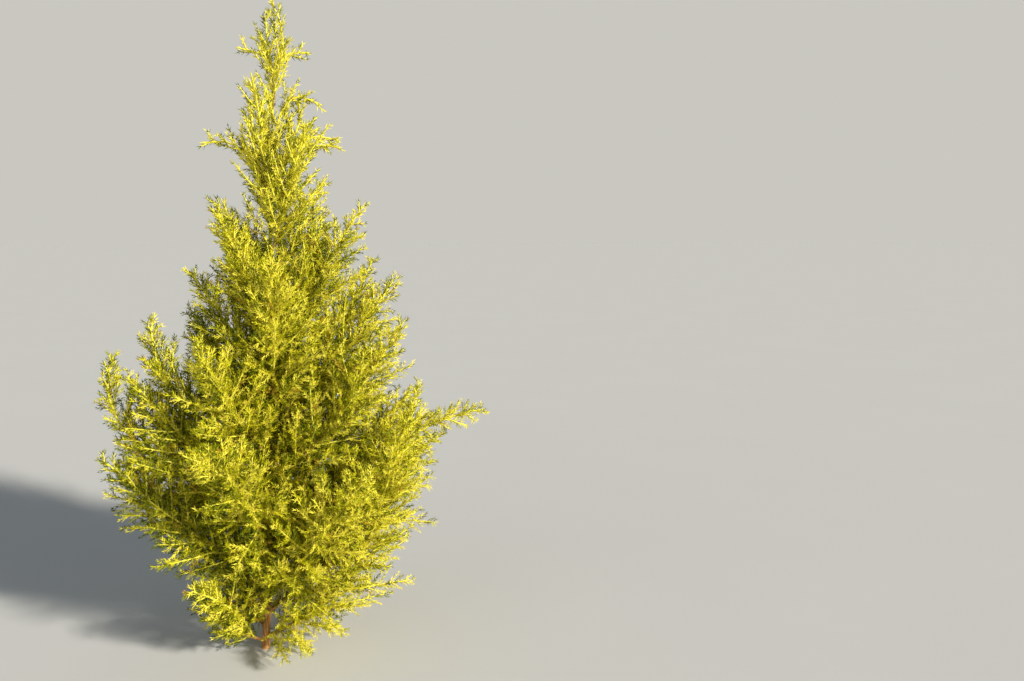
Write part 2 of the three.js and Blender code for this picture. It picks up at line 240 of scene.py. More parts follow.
def bark_material():
    """Orange-brown strips with pale edges and dark splits, green and smooth towards the tip."""
    made, wire, shader = new_material("strip_bark", 0.85, 0.3)
    place = wire.node("ShaderNodeTexCoord", {}, {}, "Object")
    drawn = wire.node("ShaderNodeMapping", {}, {"Vector": place, "Scale": (420, 420, 55)})
    fibre = wire.node("ShaderNodeTexNoise", {}, {
        "Vector": drawn, "Scale": 1.0, "Detail": 5.0, "Roughness": 0.6,
    })
    patch = wire.node("ShaderNodeTexNoise", {}, {"Vector": place, "Scale": 60.0, "Detail": 3.0})
    strips = wire.node("ShaderNodeValToRGB", {"stops": [
        (0.30, (0.12, 0.048, 0.016)), (0.45, (0.38, 0.165, 0.050)),
        (0.57, (0.60, 0.300, 0.090)), (0.75, (0.76, 0.50, 0.23)),
    ]}, {"Fac": fibre + (patch - 0.5) * BARK_PATCHINESS})
    height = wire.node("ShaderNodeSeparateXYZ", {}, {"Vector": place}, "Z")
    young = wire.node("ShaderNodeMapRange", {}, {
        "Value": height + (patch - 0.5) * GREEN_PATCHINESS,
        "From Min": GREEN_FROM, "From Max": GREEN_ABOVE,
    })
    green = wire.mixed(fibre, (0.50, 0.44, 0.045, 1), (0.80, 0.72, 0.09, 1))
    colour = wire.mixed(young, strips, green)
    relief = wire.node("ShaderNodeBump", {}, {
        "Height": fibre, "Strength": 0.55, "Distance": 0.0006,
    })
    join_up(colour, shader.inputs["Base Color"])
    join_up(0.95 - 0.25 * young, shader.inputs["Roughness"])
    join_up(relief, shader.inputs["Normal"])
    return made


strip_bark = bark_material()
trunk_heights = np.linspace(0, TRUNK_TOP, TRUNK_PLACES)
trunk = ringed_cylinder("trunk_bark", TRUNK_SIDES, TRUNK_CUTS)
level_rings = np.tile([0.0, 0.0, 1.0], (len(trunk_heights), 1))
trunk_radii = trunk_radius(trunk_heights)
shape_limb(trunk, trunk_axis(trunk_heights), level_rings, trunk_radii, TRUNK_BARK_DRAW)
trunk.data.materials.append(strip_bark)
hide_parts("trunk")
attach(trunk, "root")


# Limbs: they leave the trunk in a spiral, spread low down and steep higher up, and
# turn up as they grow towards the light. Every second one of the low ones shows a
# bare bough before its foliage starts, with the same strip bark and a swollen root.
CROWN_PROFILE = (  # height, reach to the left, reach to the right
    (0.000, 0.070, 0.090), (0.030, 0.095, 0.115), (0.080, 0.106, 0.185), (0.140, 0.120, 0.216),
    (0.180, 0.165, 0.235), (0.210, 0.205, 0.252), (0.260, 0.226, 0.262), (0.330, 0.228, 0.264),
    (0.390, 0.224, 0.262), (0.440, 0.210, 0.240), (0.510, 0.170, 0.214), (0.560, 0.122, 0.190),
    (0.640, 0.094, 0.176), (0.690, 0.084, 0.142), (0.730, 0.076, 0.098), (0.790, 0.060, 0.090),
    (0.850, 0.046, 0.074), (0.900, 0.034, 0.052), (0.950, 0.026, 0.038), (1.004, 0.008, 0.008),
)
CROWN_HEIGHT = 1.008
RULED_LIMBS = 29
LOWEST_LIMB = 0.012
RULED_RANGE = 0.650
RULED_CROWDING = 1.35
FIRST_AZIMUTH = 190
GOLDEN_ANGLE = 137.508
TURN_SCATTER = 16
START_INCLINE = {"low": 72, "fall": 36, "ease": 0.6, "scatter": 7}
FINISH_INCLINE = {"low": 22, "fall": 8, "scatter": 12}
MOST_NOD = 50
MOST_SWEEP = 0.5
LEAST_REACH = 0.86
LIMB_RISE = 0.120
SHORTEST_SPAN = 0.060
NOD_FROM = 0.35
LIMB_STEP = 0.006
MOST_STEPS = 120
SHOOTS = (  # height, direction, length, incline, nod
    (0.136, 8, 0.345, 62, 8), (0.196, -8, 0.385, 59, 32), (0.225, 180, 0.350, 58, -70),
    (0.290, 176, 0.290, 47, -46), (0.372, -4, 0.285, 47, -6), (0.695, 180, 0.140, 18, 94),
    (0.690, 12, 0.156, 27, 72), (0.716, 190, 0.126, 16, -14), (0.722, -8, 0.130, 28, 78),
    (0.735, -112, 0.150, 24, 30), (0.745, 10, 0.126, 32, -30), (0.770, 95, 0.140, 28, 40),
    (0.776, 2, 0.126, 13, 108), (0.865, 175, 0.078, 6, 90), (0.850, -75, 0.090, 26, 30),
    (0.884, 100, 0.072, 24, 30), (0.900, 0, 0.048, 30, 70), (0.902, 185, 0.066, 12, -8),
    (0.934, 0, 0.052, 20, -44),
)
SHOOT_LIFT = 0.1
SHOOT_SWEEP = 0.2
BOUGH_COUNT = 11
BOUGH_EVERY = 2
BOUGH_SHARE = 0.2
LIMB_RADIUS = 0.0013
LIMB_RADIUS_PER_LENGTH = 0.004
LIMB_TO_TRUNK = 0.75
LIMB_TIP_RADIUS = 0.0008
COLLAR_SWELL = 0.55
COLLAR_LENGTH = 0.006
BOUGH_SIDES = 14
BOUGH_CUTS = (40,)
BOUGH_PLACES = 60
BOUGH_BARK_DRAW = 20
TURN, START, FINISH, NOD, SWEEP, SHARE = range(1, 7)


def crown_radius(z, azimuth):
    heights, left, right = zip(*CROWN_PROFILE)
    left = np.interp(z, heights, left)
    right = np.interp(z, heights, right)
    return (right + left) / 2 + (right - left) / 2 * np.cos(azimuth)


def from_trunk(points):
    """Distance and direction of points from the trunk's centre line."""
    out = points - trunk_axis(points[..., 2])
    return np.hypot(out[..., 0], out[..., 1]), np.arctan2(out[..., 1], out[..., 0])


def walk(limb, stop):
    """A limb's route: it turns up from its start and its end may nod over."""
    route = [limb["root"]]
    for step in range(MOST_STEPS):
        run = (step + 0.5) * LIMB_STEP
        t = run / limb["span"]
        nodded = max(0, t - NOD_FROM) / (1 - NOD_FROM)
        risen = (limb["finish"] - limb["start"]) * min(1, t)
        incline = limb["start"] + risen + limb["nod"] * nodded ** 2
        azimuth = limb["azimuth"] + limb["sweep"] * t
        level = math.sin(incline)
        x, y = level * math.cos(azimuth), level * math.sin(azimuth)
        point = route[-1] + np.array([x, y, math.cos(incline)]) * LIMB_STEP
        if stop(point, run):
            break
        route.append(point)
    return np.array(route)


def ruled_limb(n):
    """One of the limbs of the spiral, which ends where it would leave the crown."""
    u = n / (RULED_LIMBS - 1)
    height = LOWEST_LIMB + RULED_RANGE * u ** RULED_CROWDING
    turn = between(-TURN_SCATTER, TURN_SCATTER, n, TURN)
    azimuth = math.radians(FIRST_AZIMUTH + n * GOLDEN_ANGLE + turn)
    tilt = between(-START_INCLINE["scatter"], START_INCLINE["scatter"], n, START)
    start = START_INCLINE["low"] - START_INCLINE["fall"] * u ** START_INCLINE["ease"] + tilt
    lift = between(-FINISH_INCLINE["scatter"], FINISH_INCLINE["scatter"], n, FINISH)
    finish = FINISH_INCLINE["low"] - FINISH_INCLINE["fall"] * u + lift
    share = between(LEAST_REACH, 1, n, SHARE)
    width = crown_radius(height + LIMB_RISE, azimuth) * share
    limb = {
        "root": trunk_axis(height),
        "azimuth": azimuth,
        "start": math.radians(start),
        "finish": math.radians(finish),
        "nod": math.radians(between(0, MOST_NOD, n, NOD)),
        "sweep": between(-MOST_SWEEP, MOST_SWEEP, n, SWEEP),
        "span": max(SHORTEST_SPAN, width / math.sin(math.radians(start + finish) / 2)),
    }

    def outside(point, run):
        return from_trunk(point)[0] > share * crown_radius(point[2], azimuth)

    limb["route"] = walk(limb, outside)
    return limb


def shoot_limb(height, azimuth, length, incline, nod):
    """A limb of its own length that stands out from the others."""
    limb = {
        "root": trunk_axis(height),
        "azimuth": math.radians(azimuth),
        "start": math.radians(incline),
        "finish": math.radians(incline) - SHOOT_LIFT,
        "nod": math.radians(nod),
        "sweep": SHOOT_SWEEP,
        "span": length,
    }
    limb["route"] = walk(limb, lambda point, run: run > length)
    return limb


limbs = [ruled_limb(n) for n in range(RULED_LIMBS)]
limbs += [shoot_limb(*shoot) for shoot in SHOOTS]
for n, limb in enumerate(limbs):
    limb["length"] = LIMB_STEP * (len(limb["route"]) - 1)
    thickness = LIMB_RADIUS + LIMB_RADIUS_PER_LENGTH * limb["length"]
    limb["radius"] = min(thickness, LIMB_TO_TRUNK * trunk_radius(limb["root"][2]))
    limb["bough"] = n % BOUGH_EVERY == 0 and n < BOUGH_COUNT * BOUGH_EVERY
    bare_steps = math.floor(BOUGH_SHARE * limb["length"] / LIMB_STEP + 0.5)
    limb["bare"] = bare_steps * LIMB_STEP if limb["bough"] else 0

boughs = [limb for limb in limbs if limb["bough"]]
for n, limb in enumerate(boughs):
    bare = limb["route"][:round(limb["bare"] / LIMB_STEP) + 1]
    stations = LIMB_STEP * np.arange(len(bare))
    run = np.linspace(0, limb["bare"], BOUGH_PLACES)
    centres = np.stack([np.interp(run, stations, bare[:, axis]) for axis in range(3)], axis=1)
    radii = limb["radius"] + (LIMB_TIP_RADIUS - limb["radius"]) * run / limb["length"]
    clear = np.maximum(0, run - trunk_radius(limb["root"][2]))
    radii = radii * (1 + COLLAR_SWELL * np.exp(-clear / COLLAR_LENGTH))
    bough = ringed_cylinder(f"bough_bark_{n + 1:02d}", BOUGH_SIDES, BOUGH_CUTS)
    shape_limb(bough, centres, np.gradient(centres, axis=0), radii, BOUGH_BARK_DRAW + n)
    bough.data.materials.append(strip_bark)
    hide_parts(f"bough_{n + 1:02d}")
    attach(bough, "root")


# Stems: each limb's axis tapers on through its own mass of foliage. Its first fifth is a
# year or two old, tan and thinly barked. The rest is this year's growth, green to yellow,
# with a soft tip that reaches a little past the mass.
STEM_POINTS = 49
STEM_SIDES = 6
OLD_SHARE = 0.20
TIP_REACH = 0.026
STEM_TIP_RADIUS = 0.0015
STEM_END_POINTS = 6
STEM_END_TAPER = 0.45
TAN = ((0.36, 0.22, 0.045), (0.56, 0.42, 0.08))
YELLOW_GREEN = ((0.70, 0.64, 0.040), (0.90, 0.83, 0.11))
SOFT_SPECULAR = 0.12
TINY = 1e-6
masses = [f"foliage_{n + 1:02d}" for n in range(len(limbs))]


def resampled(route, count):
    """A route of equal steps, set out again in count points."""
    place = np.linspace(0, len(route) - 1, count)
    steps = np.arange(len(route))
    return np.stack([np.interp(place, steps, route[:, axis]) for axis in range(3)], axis=1)


def tubes(paths, radii, sides):
    """Points and faces of many tubes at once: a ring at each place and a point at the last."""
    count = len(paths)
    rings = paths.shape[1] - 1
    forward = unit(np.gradient(paths, axis=1))[:, :-1]
    start = forward[:, :1]
    level = np.stack([start[..., 1], -start[..., 0], TINY + 0 * start[..., 0]], axis=-1)
    side = unit(level - forward * (level * forward).sum(-1, keepdims=True))
    front = np.cross(side, forward)
    angle = math.tau * np.arange(sides) / sides
    across = side[:, :, None] * np.cos(angle)[:, None]
    out = across + front[:, :, None] * np.sin(angle)[:, None]
    ring_points = paths[:, :-1, None] + out * radii[:, :-1, None, None]
    points = np.concatenate([ring_points.reshape(count, -1, 3), paths[:, -1:]], axis=1)
    around = np.arange(sides)
    after = (around + 1) % sides
    lower = (sides * np.arange(rings - 1))[:, None]
    upper = lower + sides
    quads = np.stack([lower + around, upper + around, upper + after, lower + after], axis=-1)
    last = sides * (rings - 1)
    cap = np.stack([last + around, 0 * around + last + sides, last + after], axis=-1)
    halves = [quads[..., corners].reshape(-1, 3) for corners in ([0, 1, 2], [0, 2, 3])]
    triangles = np.concatenate([*halves, cap])
    first = points.shape[1] * np.arange(count)
    return points.reshape(-1, 3), (first[:, None, None] + triangles).reshape(-1, 3)


def dress(name, points, faces, material, smooth=True):
    """A joined piece from its points and faces, in place of the masses."""
    mesh = bpy.data.meshes.new(name)
    mesh.from_pydata(points.tolist(), [], faces.tolist())
    mesh.materials.append(material)
    mesh.polygons.foreach_set("use_smooth", np.full(len(faces), smooth))
    piece = bpy.data.objects.new(name, mesh)
    bpy.context.collection.objects.link(piece)
    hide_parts(*masses)
    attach(piece, "root")


def plain_growth(name, dark, light, roughness, grain):
    """Soft growth in one base colour that wanders a little from dark to light."""
    made, wire, shader = new_material(name, roughness, SOFT_SPECULAR)
    place = wire.node("ShaderNodeTexCoord", {}, {}, "Object")
    drift = wire.node("ShaderNodeTexNoise", {}, {
        "Vector": place, "Scale": grain, "Detail": 2.0,
    })
    shade = wire.node("ShaderNodeMapRange", {}, {
        "Value": drift, "From Min": 0.35, "From Max": 0.65,
    })
    colour = wire.mixed(shade, (*dark, 1), (*light, 1))
    join_up(colour, shader.inputs["Base Color"])
    join_up(roughness + 0.1 * shade, shader.inputs["Roughness"])
    return made


def grown_on(limb):
    """A limb's route with the soft tip that grows on past its mass's last ring."""
    route = limb["route"]
    steps = np.arange(1, round(TIP_REACH / LIMB_STEP) + 1)[:, None]
    return np.concatenate([route, route[-1] + (route[-1] - route[-2]) * steps])


limb_routes = [grown_on(limb) for limb in limbs]
stem_routes = [route[round(limb["bare"] / LIMB_STEP):] for limb, route in zip(limbs, limb_routes)]
stem_paths = np.array([resampled(route, STEM_POINTS) for route in stem_routes])
stem_lengths = np.array([LIMB_STEP * (len(route) - 1) for route in stem_routes])
stem_share = np.linspace(0, 1, STEM_POINTS)
bare_share = np.array([limb["bare"] / limb["length"] for limb in limbs])[:, None]
limb_radii = np.array([limb["radius"] for limb in limbs])[:, None]
run_share = bare_share + (1 - bare_share) * stem_share
stem_radii = limb_radii + (STEM_TIP_RADIUS - limb_radii) * run_share
stem_radii[:, -STEM_END_POINTS:] *= np.linspace(1, STEM_END_TAPER, STEM_END_POINTS)
old_rings = round(OLD_SHARE * STEM_POINTS)
old_growth = plain_growth("tan_stem", *TAN, roughness=0.7, grain=160.0)
new_growth = plain_growth("green_stem", *YELLOW_GREEN, roughness=0.5, grain=90.0)
old_part, new_part = np.s_[:, :old_rings + 2], np.s_[:, old_rings:]
points, faces = tubes(stem_paths[old_part], stem_radii[old_part], STEM_SIDES)
dress("old_stems", points, faces, old_growth)
points, faces = tubes(stem_paths[new_part], stem_radii[new_part], STEM_SIDES)
dress("new_stems", points, faces, new_growth)


# Twigs: side shoots all round each stem and the trunk, which leave it at about forty-five
# degrees, turn up to the light and nod at the tip. Low and outer ones arch down, and a few
# stray out low on the right. A twig ends where it would leave the crown or its own mass.
TWIG_GAP = 0.0062
FIRST_TWIG = 0.014
LAST_TWIG = 0.004
TWIG_LONGEST = 0.140
TWIG_SHORTEST = 0.014
TWIG_PER_LIMB = 0.55
TWIG_SCATTER = (0.75, 1.08)
TRUNK_TWIG_LONGEST = 0.130
TRUNK_TWIG_GAP = 0.0048
TRUNK_TWIGS_FROM = 0.062
TRUNK_TWIG_TOP = 0.720
SLENDER_SHARE = 0.35
SLENDER_EASE = 0.45
DROOP = 0.35
DROOP_FROM = 0.08
DROOP_BELOW = 0.48
DROOP_EASE = 0.15
TWIG_STEPS = 6
FEWEST_STEPS = 2
TWIG_SPREAD = (38, 56)
TWIG_LIFT = (0.2, 0.8)
TWIG_LIFT_HIGH = 0.6
LIFT_RISE = 0.5
LIFT_START = 0.3
HIGH_FROM = 0.62
HIGH_SPAN = 0.16
TWIG_GAP_HIGH = 1.0
TWIG_NOD = 1.5
MINGLE = 0.032
TWIG_RADIUS = 0.0017
TWIG_TIP_RADIUS = 0.0008
TWIG_SIDES = 4
TWIG_THINNEST = 0.55
TWIG_FULL_LENGTH = 0.12
GAP_SCATTER = 0.2
ROLL_SCATTER = 25
FOLLOW = 0.18
FRINGE = 0.025
OUTLINE_MARGIN = (0.93, 1.05)
STRAY_SHARE = 0.16
STRAY_BELOW = 0.22
STRAY_FACING = 0.5
STRAY_LENGTH = 1.8
STRAY_MARGIN = 1.3
STRAY_DROOP = 0.75
TRUNK_MARGIN = 0.002
GROUND_MARGIN = 0.003
COARSE_STEP = 4
POINTS_AT_ONCE = 2000
UP = np.array([0.0, 0.0, 1.0])
GAP_DRAW, LENGTH_DRAW, ROLL_DRAW, SPREAD_DRAW, LIFT_DRAW = 900, 100, 300, 500, 700
EDGE_DRAW, STRAY_DRAW = 800, 850


def places_along(lengths, first, last, gap, key):
    """Where side shoots stand: the axis each is on, its number there and its distance."""
    counts = np.maximum(0, ((lengths - first - last) / gap).astype(int) + 1)
    axis = np.repeat(np.arange(len(lengths)), counts)
    number = np.arange(counts.sum()) - np.repeat(np.cumsum(counts) - counts, counts)
    scatter = between(-GAP_SCATTER, GAP_SCATTER, axis, key + number)
    gaps = np.broadcast_to(gap, lengths.shape)[axis]
    return axis, number, first + gaps * (number + scatter)


def along(paths, lengths, axis, distance):
    """Points and directions at distances along axes whose steps are equal."""
    steps = paths.shape[1] - 1
    place = np.clip(distance / lengths[axis], 0, 1) * steps
    index = np.minimum(place.astype(int), steps - 1)
    step = paths[axis, index + 1] - paths[axis, index]
    return paths[axis, index] + step * (place - index)[:, None], unit(step)


def side_shoots(root, forward, roll, spread, length, lift, nod, steps):
    """Shoots that leave their axis at an angle, bend along it and up, and nod at the tip."""
    side = unit(np.stack([forward[:, 1], -forward[:, 0], TINY + 0 * forward[:, 0]], axis=-1))
    front = np.cross(side, forward)
    out = side * np.cos(roll)[:, None] + front * np.sin(roll)[:, None]
    way = forward * np.cos(spread)[:, None] + out * np.sin(spread)[:, None]
    points = [root]
    for step in range(steps):
        rise = lift * (1 - nod * step / steps)
        way = unit(way + (FOLLOW * forward + rise[:, None] * UP) / steps)
        points.append(points[-1] + way * (length / steps)[:, None])
    return np.stack(points, axis=1)


def own_and_other(points, owner):
    """Each point's distance to its own limb's stem, and to the nearest other stem."""
    coarse = axis_paths[:, ::COARSE_STEP]
    starts = coarse[:, :-1].reshape(-1, 3).astype(np.float32)
    steps = (coarse[:, 1:] - coarse[:, :-1]).reshape(-1, 3).astype(np.float32)
    squares = (steps ** 2).sum(1)
    per_limb = coarse.shape[1] - 1
    own = np.empty(len(points))
    other = np.empty(len(points))
    for first in range(0, len(points), POINTS_AT_ONCE):
        chunk = slice(first, first + POINTS_AT_ONCE)
        away = points[chunk, None].astype(np.float32) - starts
        share = np.clip((away * steps).sum(2) / squares, 0, 1)
        gaps = np.linalg.norm(away - share[..., None] * steps, axis=2)
        gaps = gaps.reshape(len(gaps), -1, per_limb).min(2)
        rows = np.arange(len(gaps))
        own[chunk] = gaps[rows, owner[chunk]]
        gaps[rows, owner[chunk]] = np.inf
        other[chunk] = gaps.min(1)
    return own, other


def in_own_space(points, owner, margin):
    """Whether points lie in the crown, and in their own mass or near its edge."""
    own, other = own_and_other(points, owner)
    distance, azimuth = from_trunk(points)
    inside = (own < FRINGE) | (distance < margin * crown_radius(points[:, 2], azimuth))
    level = (points[:, 2] > GROUND_MARGIN) & (points[:, 2] < CROWN_HEIGHT)
    clear = (points[:, 2] > TRUNK_TOP) | (distance > trunk_radius(points[:, 2]) + TRUNK_MARGIN)
    return inside & level & clear & (own < other + MINGLE)


def up_high(points):
    """From 0 in the full lower crown to 1 in the thin top."""
    return np.clip((points[..., 2] - HIGH_FROM) / HIGH_SPAN, 0, 1)


trunk_route = trunk_axis(np.linspace(TRUNK_TWIGS_FROM, TRUNK_TWIG_TOP, TRUNK_PLACES))
axis_paths = np.array([resampled(route, STEM_POINTS) for route in [*limb_routes, trunk_route]])
limb_lengths = [LIMB_STEP * (len(route) - 1) for route in limb_routes]
axis_lengths = np.array([*limb_lengths, TRUNK_TWIG_TOP - TRUNK_TWIGS_FROM])
twig_gap = np.append(np.full(len(limbs), TWIG_GAP), TRUNK_TWIG_GAP)
twig_gap = twig_gap * (1 + TWIG_GAP_HIGH * up_high(axis_paths[:, 0]))
longest = np.append(np.full(len(limbs), TWIG_LONGEST), TRUNK_TWIG_LONGEST)
twig_limb, number, distance = places_along(
    axis_lengths, FIRST_TWIG, LAST_TWIG, twig_gap, GAP_DRAW)
root, forward = along(axis_paths, axis_lengths, twig_limb, distance)
left = axis_lengths[twig_limb] - distance
slender = np.minimum(1, left / (SLENDER_SHARE * axis_lengths[twig_limb])) ** SLENDER_EASE
twig_lengths = np.minimum(longest[twig_limb], TWIG_SHORTEST + TWIG_PER_LIMB * left * slender)
twig_lengths = twig_lengths * between(*TWIG_SCATTER, twig_limb, LENGTH_DRAW + number)
scatter = between(-ROLL_SCATTER, ROLL_SCATTER, twig_limb, ROLL_DRAW + number)
roll = np.radians(number * GOLDEN_ANGLE + scatter)
spread = np.radians(between(*TWIG_SPREAD, twig_limb, SPREAD_DRAW + number))
outward, facing = from_trunk(root)
low = np.clip((DROOP_BELOW - root[:, 2]) / DROOP_EASE, 0, 1)
low_left = np.clip(-np.cos(facing), 0, 1) * low
arched = (np.clip(np.cos(facing), 0, 1) + low_left) * np.clip(outward / DROOP_FROM, 0, 1)
risen = np.clip(root[:, 2] / LIFT_RISE - LIFT_START, 0, 1)
lift = TWIG_LIFT_HIGH * risen * (1 - arched) - DROOP * arched
lift = lift + between(*TWIG_LIFT, twig_limb, LIFT_DRAW + number)
low_right = (root[:, 2] < STRAY_BELOW) & (np.cos(facing) > STRAY_FACING)
stray = low_right & (chance(twig_limb, STRAY_DRAW + number) < STRAY_SHARE)
twig_lengths = twig_lengths * np.where(stray, STRAY_LENGTH, 1)
lift = lift - STRAY_DROOP * stray
grown = side_shoots(root, forward, roll, spread, twig_lengths, lift, TWIG_NOD, TWIG_STEPS)
tested = grown[:, 1:].reshape(-1, 3)
owner = np.repeat(twig_limb, TWIG_STEPS)
outline = between(*OUTLINE_MARGIN, twig_limb, EDGE_DRAW + number)
margin = np.where(stray, STRAY_MARGIN, outline)
fits = in_own_space(tested, owner, np.repeat(margin, TWIG_STEPS)).reshape(-1, TWIG_STEPS)
kept_steps = np.cumprod(fits, axis=1).sum(1)
kept = kept_steps >= FEWEST_STEPS
twig_limb, grown, margin, kept_steps = (
    values[kept] for values in (twig_limb, grown, margin, kept_steps))
twig_lengths = twig_lengths[kept] * kept_steps / TWIG_STEPS
whole_paths = [path[:count + 1] for path, count in zip(grown, kept_steps)]
twig_paths = np.array([resampled(path, TWIG_STEPS + 1) for path in whole_paths])
thickness = np.minimum(1, TWIG_THINNEST + twig_lengths / TWIG_FULL_LENGTH)
twig_radii = TWIG_RADIUS * thickness[:, None]
twig_radii = twig_radii + (TWIG_TIP_RADIUS - twig_radii) * np.linspace(0, 1, TWIG_STEPS + 1)
points, faces = tubes(twig_paths, twig_radii, TWIG_SIDES)
dress("twigs", points, faces, new_growth)


# Sprigs: the last and shortest shoots, all round each twig, thin as thread. With their
# needles they make the feathery sprays. Sprays with more painted light keep the stems' own
# yellow-green, the rest get a darker olive copy of it, painted shade, so they come in two
# colours.
SPRIG_GAP = 0.0052
SPRIG_GAP_HIGH = 0.8
FIRST_SPRIG = 0.004
LAST_SPRIG = 0.003
SPRIG_LONGEST = 0.034
SPRIG_SHORTER_HIGH = 0.45
SPRIG_SHORTEST = 0.006
SPRIG_PER_TWIG = 0.42
SPRIG_SCATTER = (0.75, 1.1)
SPRIG_SPREAD = (36, 52)
SPRIG_LIFT = (-0.1, 0.5)
SPRIG_STEPS = 2
SPRIG_NOD = 0.5
SPRIG_RADIUS = 0.0006
SPRIG_TIP_RADIUS = 0.0003
SPRIG_SIDES = 3
SPRIG_DRAWS = 1000
SPRIG_LIGHT_DRAW = 2500
# How much light and shade is painted into the sprays' tones, and its random scatter.
BASE_LIGHT = 0.41
OUTER_LIGHT = 0.15
MOST_OUTER = 1.1
HIGH_LIGHT = 0.05
LOW_LIGHT = 0.05
LOW_BELOW = 0.3
SUNNY_LIGHT = 0.12
SUNNY_SIDE = -1.25
LEFT_SHADE = 0.17
LEFT_SHADE_UP_TO = 1.6
LEFT_SHADE_EASE = 0.5
LIGHT_SCATTER = 0.42
SUNLIT_FROM = 0.55
# A darker olive copy of the yellow-green stem colour: painted shade for the sprigs that get less
# light.
SHADED_OLIVE = ((0.36, 0.35, 0.015), (0.52, 0.49, 0.025))


def brightness(points, key):
    """The light painted into a spray's tone: most outside, in front and high up, least at the low
    left.
    """
    distance, azimuth = from_trunk(points)
    height = points[:, 2]
    outer = np.clip(distance / crown_radius(height, azimuth), 0, MOST_OUTER)
    # Painted light on the side towards the key light, and painted shade at the low left, which
    # the rest of the crown shades.
    sunny = SUNNY_LIGHT * np.cos(azimuth - SUNNY_SIDE) * outer
    shaded = LEFT_SHADE * np.clip(-np.cos(azimuth), 0, 1)
    shaded = shaded * np.clip(LEFT_SHADE_UP_TO - height / LEFT_SHADE_EASE, 0, 1)
    low = LOW_LIGHT * np.clip(1 - height / LOW_BELOW, 0, 1)
    light = BASE_LIGHT + OUTER_LIGHT * outer + HIGH_LIGHT * height + low + sunny - shaded
    # The scatter is the foliage's own tone, which differs at random from spray to spray.
    return light + between(-LIGHT_SCATTER, LIGHT_SCATTER, np.arange(len(points)), key)


sprig_gap = SPRIG_GAP * (1 + SPRIG_GAP_HIGH * up_high(twig_paths[:, 0]))
sprig_twig, number, distance = places_along(
    twig_lengths, FIRST_SPRIG, LAST_SPRIG, sprig_gap, SPRIG_DRAWS + GAP_DRAW)
root, forward = along(twig_paths, twig_lengths, sprig_twig, distance)
left = twig_lengths[sprig_twig] - distance
sprig_lengths = np.minimum(SPRIG_LONGEST, SPRIG_SHORTEST + SPRIG_PER_TWIG * left)
draw = SPRIG_DRAWS + number
sprig_lengths = sprig_lengths * between(*SPRIG_SCATTER, sprig_twig, LENGTH_DRAW + draw)
sprig_lengths = sprig_lengths * (1 - SPRIG_SHORTER_HIGH * up_high(root))
scatter = between(-ROLL_SCATTER, ROLL_SCATTER, sprig_twig, ROLL_DRAW + draw)
roll = np.radians(number * GOLDEN_ANGLE + scatter)
spread = np.radians(between(*SPRIG_SPREAD, sprig_twig, SPREAD_DRAW + draw))
lift = between(*SPRIG_LIFT, sprig_twig, LIFT_DRAW + draw)
sprig_paths = side_shoots(
    root, forward, roll, spread, sprig_lengths, lift, SPRIG_NOD, SPRIG_STEPS)
kept = in_own_space(sprig_paths[:, -1], twig_limb[sprig_twig], margin[sprig_twig])
sprig_paths, sprig_lengths = sprig_paths[kept], sprig_lengths[kept]
sprig_light = brightness(sprig_paths[:, -1], SPRIG_LIGHT_DRAW)
sprig_taper = np.linspace(SPRIG_RADIUS, SPRIG_TIP_RADIUS, SPRIG_STEPS + 1)
sprig_radii = np.broadcast_to(sprig_taper, sprig_paths.shape[:2])
# Painted light and shade: sprigs that get more light take the stems' yellow-green, the rest the
# olive copy.
sunlit = sprig_light > SUNLIT_FROM
shaded_growth = plain_growth("shaded_olive_stem", *SHADED_OLIVE, roughness=0.6, grain=90.0)
points, faces = tubes(sprig_paths[sunlit], sprig_radii[sunlit], SPRIG_SIDES)
dress("sunlit_sprigs", points, faces, new_growth)
points, faces = tubes(sprig_paths[~sunlit], sprig_radii[~sunlit], SPRIG_SIDES)
dress("shaded_sprigs", points, faces, shaded_growth)


# Needles: soft awl-shaped juvenile leaves, in opposite pairs that turn a quarter from
# one pair to the next, set along every sprig, twig and young stem. Each is green to golden
# by its spray: tones of painted light and shade, dealt out by the light it gets, and a few
# bronzed ones.
PAIR_GAP = 0.0035
PAIR_TURN = 90
FIRST_PAIR = 0.0015
NEEDLE_LENGTH = 0.0104
NEEDLE_SHORTEST = 0.0055
NEEDLE_SHORTENING = 2.5
NEEDLE_SCATTER = (0.8, 1.1)
NEEDLE_WIDTH = 0.0015
NEEDLE_FOLD = 0.0006
NEEDLE_TWIST = 1.25
NEEDLE_ROLL_SCATTER = 20
NEEDLE_SPREAD_SCATTER = 9
NEEDLE_CLOSING = 3
WIDEST_AT = 0.28
SPRIG_NEEDLES = {"key": 3000, "share": 1.0, "size": 0.84, "spreads": (18, 38)}
TWIG_NEEDLES = {"key": 3300, "share": 0.8, "size": 1.0, "spreads": (30, 54)}
STEM_NEEDLES = {"key": 3600, "share": 0.8, "size": 1.1, "spreads": (30, 54)}
TWIG_LIGHT_DRAW, STEM_LIGHT_DRAW, BRONZED_DRAW, TWIST_DRAW = 2600, 2700, 2800, 4000
NEEDLE_GROUND = 0.001
NEEDLE_FACES = 2
MOST_TRIANGLES = 195000
BRONZED_SHARE = 0.06
# Lit and shaded copies of the foliage colour, from painted shade to painted light; bronze is the
# colour of dead needles.
TONES = (  # name, the least light it has, darkest colour, palest colour
    ("bronze", -9.0, (0.30, 0.18, 0.012), (0.62, 0.40, 0.040)),
    ("shade", -1.0, (0.038, 0.082, 0.004), (0.160, 0.165, 0.004)),
    ("leaf", 0.35, (0.17, 0.250, 0.004), (0.44, 0.400, 0.008)),
    ("lime", 0.50, (0.44, 0.475, 0.006), (0.80, 0.69, 0.022)),
    ("gold", 0.73, (0.78, 0.70, 0.026), (0.96, 0.86, 0.120)),
)


